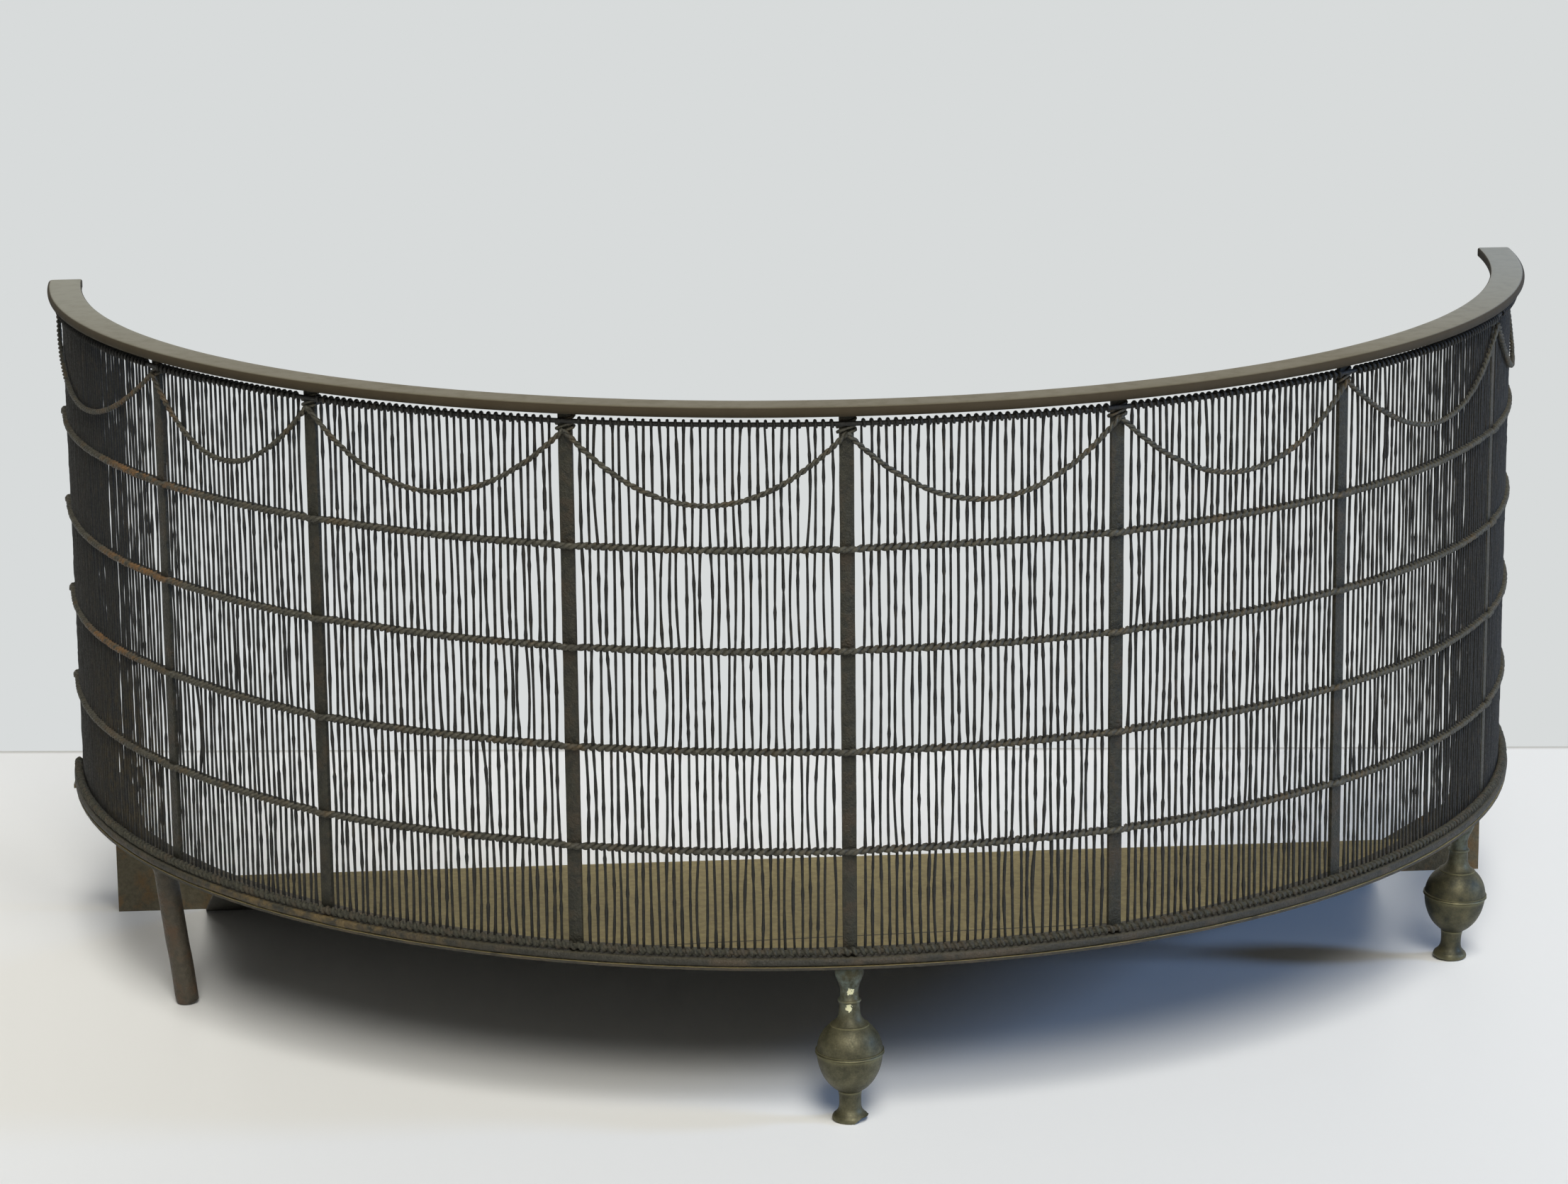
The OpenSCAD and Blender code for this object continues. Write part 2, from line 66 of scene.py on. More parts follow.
screen_r = 0.597
bow_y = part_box("post_5")[0][1] + screen_r
curb_low, curb_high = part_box("curb")
curb_nose = 0.008
curb_w = 0.0295
curb_t = curb_high[2] - curb_low[2]
curb_over = 0.010


def turn_of(node):
    """Angle round the bow of a node's middle, from the middle of the front."""
    low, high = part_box(node)
    return math.atan2((low[0] + high[0]) / 2, bow_y - (low[1] + high[1]) / 2)


end_turn = turn_of("post_9")


def colour(code):
    """An sRGB hex code as linear red, green and blue, with full alpha."""
    parts = [int(code[i:i + 2], 16) / 255 for i in (1, 3, 5)]
    return [c / 12.92 if c <= 0.04045 else ((c + 0.055) / 1.055) ** 2.4 for c in parts] + [1]


def add_node(tree, kind, inputs, **fields):
    """Adds a node, sets its fields, and fills its sockets with values or with links."""
    node = tree.nodes.new(kind)
    for field, value in fields.items():
        setattr(node, field, value)
    for socket, value in inputs.items():
        if isinstance(value, bpy.types.NodeSocket):
            tree.links.new(value, node.inputs[socket])
        else:
            node.inputs[socket].default_value = value
    return node


def speckle(tree, size_mm, detail, low, high):
    """A noise with features of that size, from 0 below one level to 1 above another."""
    place = add_node(tree, "ShaderNodeTexCoord", {}).outputs["Object"]
    field = add_node(tree, "ShaderNodeTexNoise", {"Vector": place, "Scale": 1000 / size_mm,
                                                  "Detail": detail, "Roughness": 0.62})
    return add_node(tree, "ShaderNodeMapRange",
                    {"Value": field.outputs["Fac"], "From Min": low, "From Max": high}).outputs[0]


def layer(tree, under, over, share, *masks):
    """Colour `over` laid on `under` where share and all masks are 1. A code or a socket each."""
    for mask in masks:
        share = add_node(tree, "ShaderNodeMath", {0: share, 1: mask},
                         operation="MULTIPLY").outputs[0]
    under, over = [colour(c) if isinstance(c, str) else c for c in (under, over)]
    return add_node(tree, "ShaderNodeMix", {0: share, 6: under, 7: over},
                    data_type="RGBA").outputs[2]


def near(tree, middle, reach):
    """1 close to a place on the object, falling to 0 at that reach, both in metres."""
    place = add_node(tree, "ShaderNodeTexCoord", {}).outputs["Object"]
    away = add_node(tree, "ShaderNodeVectorMath", {0: place, 1: middle}, operation="DISTANCE")
    return add_node(tree, "ShaderNodeMapRange",
                    {"Value": away.outputs["Value"], "From Min": reach * 0.35,
                     "From Max": reach, "To Min": 1, "To Max": 0}).outputs[0]


def blank_material(name):
    """A material with no nodes yet, and its node tree."""
    material = bpy.data.materials.new(name)
    material.use_nodes = True
    material.node_tree.nodes.clear()
    return material, material.node_tree


def weathered_iron(name, skin, shade, rust, rust_from, metal=0.35, rough=(0.5, 0.78),
                   bump_mm=0.25, blotch_mm=22, spots=(), spot_rust=None, top_dust=None, seam=None):
    """Iron with a dark oxide skin, browner rust in blotches, fresh rust at spots and dust on top.

    A spot is its middle and its reach. A seam is a dark line in plan: the slope of its Y
    against X, and its Y at X = 0.
    """
    grain_mm = 1.6
    patch_mm = 9
    seam_half_w = 0.0012
    material, tree = blank_material(name)
    grain = speckle(tree, grain_mm, 3, 0.3, 0.7)
    mottle = speckle(tree, blotch_mm / 4, 5, 0.36, 0.62)
    blotch = speckle(tree, blotch_mm, 6, rust_from, rust_from + 0.14)
    body = layer(tree, skin, shade, mottle)
    body = layer(tree, body, rust, blotch, 0.85)
    if top_dust:
        face = add_node(tree, "ShaderNodeTexCoord", {}).outputs["Normal"]
        rise = add_node(tree, "ShaderNodeSeparateXYZ", {"Vector": face}).outputs["Z"]
        level = add_node(tree, "ShaderNodeMapRange",
                         {"Value": rise, "From Min": 0.55, "From Max": 0.95}).outputs[0]
        dust = layer(tree, top_dust, shade, mottle, 0.35)
        body = layer(tree, body, dust, level, 0.85)
    if spots:
        patchy = speckle(tree, patch_mm, 5, 0.42, 0.6)
    for middle, reach in spots:
        body = layer(tree, body, spot_rust, near(tree, middle, reach), patchy)
    if seam:
        place = add_node(tree, "ShaderNodeTexCoord", {}).outputs["Object"]
        across = add_node(tree, "ShaderNodeVectorMath", {0: place, 1: (-seam[0], 1, 0)},
                          operation="DOT_PRODUCT").outputs["Value"]
        on_seam = add_node(tree, "ShaderNodeMath", {0: across, 1: seam[1], 2: seam_half_w},
                           operation="COMPARE").outputs[0]
        body = layer(tree, body, "#2b271c", on_seam, 0.8)
    wear = add_node(tree, "ShaderNodeMapRange",
                    {"Value": grain, "To Min": rough[0], "To Max": rough[1]}).outputs[0]
    height = add_node(tree, "ShaderNodeMath", {0: grain, 1: mottle}, operation="ADD").outputs[0]
    relief = add_node(tree, "ShaderNodeBump", {"Height": height, "Strength": 0.7,
                                               "Distance": bump_mm / 1000}).outputs[0]
    shader = add_node(tree, "ShaderNodeBsdfPrincipled",
                      {"Base Color": body, "Roughness": wear, "Metallic": metal, "Normal": relief})
    add_node(tree, "ShaderNodeOutputMaterial", {"Surface": shader.outputs[0]})
    return material


def pick_only(piece):
    """Makes a piece the one selected object."""
    bpy.ops.object.select_all(action="DESELECT")
    piece.select_set(True)
    bpy.context.view_layer.objects.active = piece


def select_points(piece, wanted):
    """In edit mode, selects just the points whose places pass a test."""
    bpy.ops.mesh.select_mode(type="VERT")
    bpy.ops.mesh.select_all(action="DESELECT")
    bpy.ops.object.mode_set(mode="OBJECT")
    for point in piece.data.vertices:
        point.select = wanted(point.co)
    bpy.ops.object.mode_set(mode="EDIT")


def roughen(piece, depth, size):
    """Wears a surface away by up to depth, in hollows of that size."""
    ways = [point.normal.copy() for point in piece.data.vertices]
    for point, way in zip(piece.data.vertices, ways):
        point.co -= way * depth * (0.5 + 0.5 * noise.noise(point.co / size))


def coat(piece, material):
    """Gives a piece or a solid its one finish."""
    piece.data.materials.clear()
    piece.data.materials.append(material)


def put(piece, material, nodes):
    """Gives a piece its finish, fixes it to the fender, and lets it stand for its solids."""
    coat(piece, material)
    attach(piece, "root")
    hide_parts(*nodes)


def bent_bar(name, inner_r, width, low, thick, soft, half_turn, steps, notch=None):
    """A bar bent on edge round the bow. Its section is a plate with a round outer edge, spun.

    Soft is the rounding of its inner corners. A notch opens its underside: from one radius to
    another, and up to a height.
    """
    nose = thick / 2 * 0.96
    middle_r = inner_r + width / 2
    bpy.ops.object.select_all(action="DESELECT")
    bpy.ops.mesh.primitive_plane_add(size=1, location=(0, 0, 0))
    bar = bpy.context.object
    bar.name = name
    bar.data.transform(Matrix.Translation((middle_r, 0, low + thick / 2))
                       @ Matrix.Diagonal((width, 1, thick, 1))
                       @ Matrix.Rotation(math.pi / 2, 4, "X"))
    bpy.ops.object.mode_set(mode="EDIT")
    select_points(bar, lambda co: co.x > middle_r)
    bpy.ops.mesh.bevel(offset=nose, segments=7, affect="VERTICES")
    select_points(bar, lambda co: co.x < middle_r)
    bpy.ops.mesh.bevel(offset=soft, segments=3, affect="VERTICES")
    if notch:
        start, end, top = notch
        slack = 1e-5
        for co, no in (((start, 0, 0), (1, 0, 0)), ((end, 0, 0), (1, 0, 0)),
                       ((0, 0, top), (0, 0, 1))):
            bpy.ops.mesh.select_all(action="SELECT")
            bpy.ops.mesh.bisect(plane_co=co, plane_no=no)
        select_points(bar, lambda co: start - slack < co.x < end + slack and co.z < top + slack)
        bpy.ops.mesh.delete(type="ONLY_FACE")
    bpy.ops.mesh.select_all(action="SELECT")
    bpy.ops.mesh.spin(steps=steps, angle=2 * half_turn, center=(0, 0, 0), axis=(0, 0, 1))
    bpy.ops.mesh.select_all(action="SELECT")
    bpy.ops.mesh.remove_doubles(threshold=1e-6)
    bpy.ops.mesh.normals_make_consistent(inside=False)
    bpy.ops.object.mode_set(mode="OBJECT")
    middle = sum(point.co.y for point in bar.data.vertices) / len(bar.data.vertices)
    start_turn = -math.pi / 2 - half_turn if middle > 0 else -math.pi / 2 + half_turn
    bar.data.transform(Matrix.Translation((0, bow_y, 0)) @ Matrix.Rotation(start_turn, 4, "Z"))
    return bar


curb = bent_bar("curb_bar", screen_r + curb_nose - curb_w, curb_w, curb_low[2], curb_t,
                soft=0.002, half_turn=end_turn + curb_over / screen_r, steps=260)
roughen(curb, depth=0.0007, size=0.03)
pick_only(curb)
bpy.ops.object.shade_smooth_by_angle(angle=math.radians(50))
# Wrought iron, forged and left black: a dull, pitted skin. The left has lost its oxide and
# shows brown rust, and ash lies on top.
left_rust = (-0.40, bow_y - 0.45, curb_high[2])
curb_iron = weathered_iron("wrought_iron_curb", "#26251d", "#312f27", "#41382a", 0.5, metal=0.2,
                           blotch_mm=30, bump_mm=0.6, spots=[(left_rust, 0.17)],
                           spot_rust="#5e5033", top_dust="#474436")
put(curb, curb_iron, ["curb"])

# ---- Base plate ----
# A crescent of sheet iron under the curb, bent down along its straight back to the floor.
# Ash has left a tan skin on its top, with a dark lap seam across it near the front, and its
# rim and underside are bare dark iron.

# Rolled sheet iron: flat, fine-grained and dull, and hardly metallic under its ash.
plate_iron = weathered_iron("sheet_iron_plate", "#29271f", "#36332a", "#423a2b", 0.5,
                            metal=0.05, rough=(0.6, 0.85), blotch_mm=26, bump_mm=0.1,
                            top_dust="#ac9e70", seam=(0.05, -0.2185))
coat(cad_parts["base_plate"], plate_iron)

# ---- Brass feet ----
# Cast and turned brass: a pad and throat, a hollow ball in two halves soldered at a bead,
# and a neck with a ring and a top bead. An iron rod inside rivets them to the curb.

foot_in = 0.011
foot_r = screen_r - foot_in
# Each foot's turn round the bow, and how far it leans in.
stands = {"front": (0, 0), "right": (math.radians(63.4), math.radians(3.5)),
          "left": (math.radians(-61.8), math.radians(7.5))}
# Room between two pieces that touch.
seat = 0.0002
base_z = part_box("rear_foot_left")[1][2] + seat
ball_r = 0.0245
ball_z = 0.054
bowl_h = 0.033
bead_r = 0.02575
shoulder_r = 0.014
neck_r = 0.0078
waist_r = 0.0066
collar_r = 0.0108
throat_r = 0.0082
pad_r = 0.0136
# How far below the ball's middle its lower cup meets the throat.
bowl_seat = bowl_h * math.sqrt(1 - (throat_r / ball_r) ** 2)


def turned(name, rings, sides=72):
    """A turned piece, as from a lathe: a disc drawn up through rings of (height, radius)."""
    bpy.ops.object.select_all(action="DESELECT")
    height, radius = rings[0]
    bpy.ops.mesh.primitive_circle_add(vertices=sides, radius=radius, fill_type="NGON",
                                      location=(0, 0, 0))
    piece = bpy.context.object
    piece.name = name
    piece.data.transform(Matrix.Translation((0, 0, height)))
    bpy.ops.object.mode_set(mode="EDIT")
    bpy.ops.mesh.select_all(action="SELECT")
    for next_height, next_radius in rings[1:]:
        rise = (0, 0, next_height - height)
        bpy.ops.mesh.extrude_region_move(TRANSFORM_OT_translate={"value": rise})
        share = next_radius / radius
        bpy.ops.transform.resize(value=(share, share, 1), center_override=(0, 0, next_height))
        height, radius = next_height, next_radius
    bpy.ops.mesh.select_all(action="SELECT")
    bpy.ops.mesh.normals_make_consistent(inside=False)
    bpy.ops.object.mode_set(mode="OBJECT")
    bpy.ops.object.shade_smooth_by_angle(angle=math.radians(38))
    return piece


def arc_rings(middle_r, middle_z, radius, start, end, steps, deep=1.0):
    """Rings along an arc of a section, from one angle to another. Deep stretches it upright."""
    angles = [math.radians(start + (end - start) * i / steps) for i in range(steps + 1)]
    return [(middle_z + radius * deep * math.sin(a), middle_r + radius * math.cos(a))
            for a in angles]


def pad_rings():
    """The sole, the pad's worn rim, and the hollow curve up to the throat."""
    low, high = 0.0045, 0.0150
    steps = 10
    hollow = 3.4
    flare = pad_r - 0.0010 - throat_r
    curve = [(low + (high - low) * i / steps, throat_r + flare * (1 - i / steps) ** hollow)
             for i in range(steps + 1)]
    rim = [(0, pad_r - 0.0012), (0.0008, pad_r - 0.0003), (0.0018, pad_r),
           (0.0032, pad_r - 0.0003)]
    throat = [(0.0185, throat_r + 0.0001), (0.0210, throat_r + 0.0004),
              (ball_z - bowl_seat + 0.0002, throat_r + 0.0009)]
    return rim + curve + throat


def lower_ball_rings():
    """The lower cup, deeper than round, from the throat up to the soldered joint."""
    deep = bowl_h / ball_r
    start = -math.degrees(math.acos((throat_r + 0.0006) / ball_r))
    end = math.degrees(math.asin(-0.0020 / bowl_h))
    return arc_rings(0, ball_z, ball_r, start, end, 18, deep)


def upper_ball_rings():
    """The joint's bead and the upper cup, up to the shoulder that the neck sits on."""
    bead = [(ball_z - 0.0019, ball_r), (ball_z - 0.0017, bead_r - 0.0006),
            (ball_z - 0.0011, bead_r), (ball_z - 0.0002, bead_r - 0.0004),
            (ball_z + 0.0001, bead_r - 0.0008), (ball_z + 0.0005, bead_r - 0.0002),
            (ball_z + 0.0010, bead_r - 0.0003), (ball_z + 0.0014, ball_r)]
    start = math.degrees(math.asin(0.0017 / ball_r))
    end = math.degrees(math.acos((shoulder_r - 0.0005) / ball_r))
    return bead + arc_rings(0, ball_z, ball_r, start, end, 14)


def neck_rings(top):
    """The shoulder's lip, the flare, the neck with its ring, the waist, the cone and the bead."""
    ring_low = 0.029
    lip = ball_z + math.sqrt(ball_r ** 2 - shoulder_r ** 2) - 0.0009
    ring_z = top - ring_low
    shoulder = [(0, 0.0140), (0.0004, 0.0145), (0.0010, 0.0146), (0.0015, 0.0142), (0.0017, 0.0134),
                (0.0023, 0.0126), (0.0035, 0.0112), (0.0048, 0.0101), (0.0062, 0.0092),
                (0.0080, 0.0085), (0.0105, 0.0080), (0.0135, neck_r)]
    collar = [(0.0225, waist_r), (0.0200, 0.0068), (0.0160, 0.0079), (0.0130, 0.0092),
              (0.0105, 0.0102), (0.0085, 0.0107), (0.0065, collar_r), (0.0045, 0.0106),
              (0.0025, 0.0099), (0.0008, 0.0090), (0, 0.0085)]
    return ([(lip + up, radius) for up, radius in shoulder] + [(ring_z - 0.0022, neck_r - 0.0002)]
            + arc_rings(neck_r - 0.0002, ring_z, 0.0012, -75, 75, 6)
            + [(ring_z + 0.0020, 0.0071)] + [(top - down, radius) for down, radius in collar])


def stand_place(spot, length, top_r):
    """Where a foot stands: upright at the front, or leaning in at one side of the bow."""
    turn, lean = stands[spot]
    out = (Matrix.Translation((0, bow_y, 0)) @ Matrix.Rotation(turn, 4, "Z")
           @ Matrix.Translation((0, -foot_r, 0)))
    if spot == "front":
        return out
    drop = length + seat + top_r * math.sin(lean)
    return (out @ Matrix.Translation((0, 0, base_z)) @ Matrix.Rotation(lean, 4, "X")
            @ Matrix.Translation((0, 0, -drop)))


def lean_length(lean, top_r, sole_r):
    """Length of a leaning foot between the plate and the floor."""
    return (base_z - seat - (top_r + sole_r) * math.sin(lean)) / math.cos(lean)


def foot_brass(name, tarnish, worn, green, top, glint_places=()):
    """Unpolished brass: an olive skin, worn paler on the swells, grey-green near the top.

    Its metal shows through thin tarnish, so it is half metallic. Glint places get painted
    highlights: small pale ragged spots.
    """
    green_reach = 0.045
    glint_reach = 0.0042
    material, tree = blank_material(name)
    cloud = speckle(tree, 14, 5, 0.36, 0.66)
    fine = speckle(tree, 1.3, 4, 0.3, 0.7)
    pointy = add_node(tree, "ShaderNodeNewGeometry", {}).outputs["Pointiness"]
    edge = add_node(tree, "ShaderNodeMapRange",
                    {"Value": pointy, "From Min": 0.515, "From Max": 0.56}).outputs[0]
    skin = layer(tree, tarnish, worn, cloud)
    skin = layer(tree, skin, "#2c2c20", fine, 0.35)
    skin = layer(tree, skin, "#8e8a66", edge, 0.35)
    skin = layer(tree, skin, green, near(tree, top, green_reach),
                 speckle(tree, 7, 5, 0.40, 0.62), 0.7)
    # Painted highlights: small pale ragged spots where the light glints on the neck's rings.
    for glint_place in glint_places:
        ragged = add_node(tree, "ShaderNodeMath", {0: speckle(tree, 2.2, 3, 0.3, 0.7), 1: 0.9,
                                                   2: near(tree, glint_place, glint_reach)},
                          operation="MULTIPLY_ADD").outputs[0]
        glint_mask = add_node(tree, "ShaderNodeMapRange",
                         {"Value": ragged, "From Min": 1.02, "From Max": 1.10}).outputs[0]
        skin = layer(tree, skin, "#dddcb8", glint_mask)
    dull = add_node(tree, "ShaderNodeMapRange",
                    {"Value": fine, "To Min": 0.46, "To Max": 0.62}).outputs[0]
    height = add_node(tree, "ShaderNodeMath", {0: fine, 1: cloud}, operation="ADD").outputs[0]
    relief = add_node(tree, "ShaderNodeBump",
                      {"Height": height, "Strength": 0.4, "Distance": 0.00014}).outputs[0]
    shader = add_node(tree, "ShaderNodeBsdfPrincipled",
                      {"Base Color": skin, "Roughness": dull, "Metallic": 0.55, "Normal": relief})
    add_node(tree, "ShaderNodeOutputMaterial", {"Surface": shader.outputs[0]})
    return material


def bite(pad):
    """The front pad has lost a piece of its rim at the right, from below."""
    middle_turn, half_w, deep = 62, 50, 0.0042
    for point in pad.data.vertices:
        turn = math.degrees(math.atan2(point.co.x, -point.co.y))
        share = max(0, 1 - abs(turn - middle_turn) / half_w)
        point.co.z = max(point.co.z, deep * min(1, share * 2.2) ** 0.6)


for spot, tarnish, worn in (("front", "#3c3b2b", "#66634c"), ("right", "#35362a", "#615d45")):
    length = base_z - seat if spot == "front" else lean_length(stands["right"][1], collar_r, pad_r)
    place = stand_place(spot, length, collar_r)
    # Painted highlights on the front foot's neck rings, at two given places.
    glint_spots = [place @ Vector((0.0003, -0.0068, 0.1010)), place @ Vector((-0.0012, -0.0078, 0.0885))]
    brass = foot_brass(f"turned_brass_{spot}", tarnish, worn, "#66746f",
                       place @ Vector((0, 0, length)), glint_spots if spot == "front" else ())
    for part, rings in (("pad", pad_rings()), ("ball_bottom", lower_ball_rings()),
                        ("ball_top", upper_ball_rings()), ("neck", neck_rings(length))):
        piece = turned(f"{spot}_{part}", rings)
        roughen(piece, depth=0.0002, size=0.006)
        if (spot, part) == ("front", "pad"):
            bite(piece)
        piece.data.transform(place)
        put(piece, brass, [f"{spot}_foot_{part}"])

# ---- Left leg ----
# A plain forged peg where a brass foot was lost. It is swelled at the top, where it was
# riveted through the curb, and it has rusted brown.

leg_r = 0.0095
leg_length = lean_length(stands["left"][1], leg_r, leg_r)
leg_steps = 18
leg_rings = [(0, leg_r - 0.0012), (0.0012, leg_r - 0.0002)]
leg_rings += [(0.0012 + (leg_length - 0.0092) * i / leg_steps, leg_r)
              for i in range(1, leg_steps + 1)]
leg_rings += [(leg_length - 0.0060, leg_r + 0.0006), (leg_length - 0.0030, leg_r + 0.0012),
              (leg_length - 0.0008, leg_r + 0.0010), (leg_length, leg_r)]
leg = turned("left_peg", leg_rings, sides=48)
roughen(leg, depth=0.0008, size=0.018)
leg.data.transform(stand_place("left", leg_length, leg_r))
# Forged iron, rubbed by handling: brown, lumpy and a little smoother than the curb.
leg_iron = weathered_iron("forged_iron_leg", "#3c372d", "#4b4539", "#4f3d2c", 0.5,
                          metal=0.2, rough=(0.42, 0.7), blotch_mm=20, bump_mm=0.5)
put(leg, leg_iron, ["left_leg"])

# ---- Rear feet ----
# Two feet cut from sheet iron, each a stem on a long toe, with a tab turned forward and
# riveted under the curb. The rivets, the rail's core and the foot rods are hardly seen.

# Sheet iron under a paler skin of dust and rust, dull and finely mottled.
rear_iron = weathered_iron("sheet_iron_rear_feet", "#504a38", "#625b47", "#675030", 0.5,
                           metal=0.2, blotch_mm=18, bump_mm=0.4)
# Bare forged iron that the light hardly reaches: dark, with brown blotches.
hidden_iron = weathered_iron("hidden_iron", "#3a342c", "#4a4238", "#5e4632", 0.5)
for node in ("rear_foot_left", "rear_foot_right"):
    coat(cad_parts[node], rear_iron)
for node in ("rear_foot_rivets", "rail_core", "front_foot_rod", "right_foot_rod"):
    coat(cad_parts[node], hidden_iron)

# ---- Posts ----
# Nine flat iron bars, a little uneven from the hammer. They are tenoned into the curb and
# into the iron core of the rail, and hold the ropes and the rail.

post_w = 0.011
post_t = 0.004
post_levels = 24
curb_top = curb_high[2]
rail_low, rail_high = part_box("brass_rail")
post_foot, post_top = curb_top - 0.002, rail_low[2] + 0.001
# Wrought iron bar: black oxide with a faint shine on its flats, and hammer marks.
post_iron = weathered_iron("wrought_iron_posts", "#25251e", "#333228", "#3a3226", 0.5,
                           metal=0.35, rough=(0.45, 0.7), blotch_mm=20, bump_mm=0.6)
post_arcs = [screen_r * turn_of(f"post_{number}") for number in range(1, 10)]
for number, arc in enumerate(post_arcs, 1):
    bpy.ops.object.select_all(action="DESELECT")
    bpy.ops.mesh.primitive_cube_add(size=1)
    post = bpy.context.object
    post.name = f"post_bar_{number}"
    post.data.transform(Matrix.Diagonal((post_w, post_t, post_top - post_foot, 1)))
    bpy.ops.object.mode_set(mode="EDIT")
    bpy.ops.mesh.select_all(action="SELECT")
    bpy.ops.mesh.bevel(offset=0.0007, segments=2, affect="EDGES")
    for level in range(1, post_levels):
        cut_z = (level / post_levels - 0.5) * (post_top - post_foot)
        bpy.ops.mesh.select_all(action="SELECT")
        bpy.ops.mesh.bisect(plane_co=(0, 0, cut_z), plane_no=(0, 0, 1))
    bpy.ops.object.mode_set(mode="OBJECT")
    post.data.transform(Matrix.Translation((0, bow_y, 0)) @ Matrix.Rotation(arc / screen_r, 4, "Z")
                        @ Matrix.Translation((0, post_t / 2 - screen_r,
                                              (post_foot + post_top) / 2)))
    roughen(post, depth=0.0005, size=0.02)
    bpy.ops.object.shade_smooth_by_angle(angle=math.radians(40))
    put(post, post_iron, [f"post_{number}"])

# ---- Upright wires ----
# Some 290 soft iron wires, lumpy with rust and a little crooked. Each stands on the curb
# behind the bottom rope, passes through the level ropes, and is hooked over the top rod.

wire_d = 0.0022
wire_pitch = 0.00575
wire_r = screen_r - wire_d / 2
top_low, top_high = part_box("top_wire")
top_rod_r = 0.0018
top_rod_z = (top_low[2] + top_high[2]) / 2
row_heights = [sum(corner[2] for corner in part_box(f"row_rope_{row}")) / 2 for row in range(1, 5)]
rod_r = screen_r + 0.0022
shaft_steps = 52
hook_steps = 7
# How thick a wire is along its length, as shares: rust has eaten it and swollen it.
lumps = (0.84, 0.92, 0.96, 1.0, 1.05, 1.1, 1.34)
shake = random.Random(11)


def on_bow(arc, radius, z):
    """A point at a length round the screen's face, at a radius and a height."""
    turn = arc / screen_r
    return Vector((radius * math.sin(turn), bow_y - radius * math.cos(turn), z))


def panel_wires(number):
    """How far round the face each upright wire of a panel stands."""
    start = post_arcs[number - 1] + post_w / 2
    end = post_arcs[number] - post_w / 2
    count = round((end - start) / wire_pitch) - 1
    return [start + (end - start) * i / (count + 1) for i in range(1, count + 1)]


def hook(arc):
    """From behind the top rod, over it, and down its front."""
    reach = top_rod_r + wire_d * 0.42
    points = []
    for step in range(hook_steps + 1):
        angle = math.radians(180 - 225 * step / hook_steps)
        shift = wire_d * 0.5 * step / hook_steps
        points.append((on_bow(arc + shift, rod_r + reach * math.cos(angle),
                              top_rod_z + reach * math.sin(angle)), 1.1))
    return points


def crooked(levels):
    """How far to the side a wire strays at each height, held a little at every level rope.

    Now and then a length between two ropes is bent three times as far.
    """
    held_off, bowed_off, kinked_share = 0.00045, 0.0006, 0.03
    held = [shake.gauss(0, held_off) for _ in levels]
    bows = [shake.gauss(0, bowed_off) * (3 if shake.random() < kinked_share else 1)
            for _ in levels]

    def stray(z):
        for low, high, a, b, bow in zip(levels, levels[1:], held, held[1:], bows):
            if z <= high or high == levels[-1]:
                share = min(max((z - low) / (high - low), 0), 1)
                return a + (b - a) * share + bow * math.sin(math.pi * share)
    return stray


def upright(arc):
    """One wire, from the curb to its top hook, as points with a share of its thickness."""
    low, high = curb_top, top_rod_z - 0.003
    stray = crooked([low] + row_heights + [high])
    shaft = []
    for step in range(shaft_steps + 1):
        off = shake.uniform(-0.4, 0.4) if 0 < step < shaft_steps else 0
        z = low + (high - low) * ((step + off) / shaft_steps)
        shaft.append((on_bow(arc + stray(z), wire_r, z), shake.choice(lumps)))
    return shaft + hook(arc)


def draw_wires(name, runs, thick, rounding=1):
    """Wires along runs of points, as one closed mesh: six-sided ones, or eight with rounding 2."""
    drawn = bpy.data.curves.new(name, "CURVE")
    drawn.dimensions = "3D"
    drawn.bevel_depth = thick / 2
    drawn.bevel_resolution = rounding
    drawn.use_fill_caps = True
    for run in runs:
        spline = drawn.splines.new("POLY")
        spline.points.add(len(run) - 1)
        for point, (place, swell) in zip(spline.points, run):
            point.co = (*place, 1)
            point.radius = swell
    piece = bpy.data.objects.new(name, drawn)
    bpy.context.collection.objects.link(piece)
    pick_only(piece)
    bpy.ops.object.convert(target="MESH")
    piece = bpy.context.object
    bpy.ops.object.mode_set(mode="EDIT")
    bpy.ops.mesh.select_all(action="SELECT")
    bpy.ops.mesh.remove_doubles(threshold=1e-6)
    bpy.ops.mesh.normals_make_consistent(inside=False)
    bpy.ops.object.mode_set(mode="OBJECT")
    bpy.ops.object.shade_smooth_by_angle(angle=math.radians(75))
    return piece


# Drawn soft iron wire, rusted and blackened: nearly black, dull and lumpy.
wire_iron = weathered_iron("soft_iron_wire", "#191917", "#242421", "#302a20", 0.56,
                           metal=0.3, rough=(0.5, 0.75), blotch_mm=12, bump_mm=0.3,
                           spots=[((-0.56, bow_y - 0.25, 0.19), 0.12)], spot_rust="#332d1f")
for number in range(1, 9):
    wires = [upright(arc) for arc in panel_wires(number)]
    put(draw_wires(f"upright_wires_{number}", wires, wire_d), wire_iron,
        [f"wire_panel_{number}"])

# ---- Top rod and bottom rope ----
# A plain iron rod along the top of the screen, that the upright wires hook over. Along its
# foot, on the curb and before the posts, lies a rod with a thick wire wound round it.

rod_over = 0.008
bottom_rope_r = 0.0036
bottom_strand_d = 0.0031
bottom_rod_r = 0.0021
bottom_rope_z = curb_top + bottom_rope_r


def rod_run(radius, z, uneven):
    """Points along a rod, past the rear posts by a little, swollen here and there by rust."""
    reach = post_arcs[-1] + rod_over
    steps = 420
    arcs = [reach * (2 * i / steps - 1) for i in range(steps + 1)]
    return [(on_bow(arc, radius, z), 1 + uneven * noise.noise(Vector((arc * 140, z * 50, 0))))
            for arc in arcs]


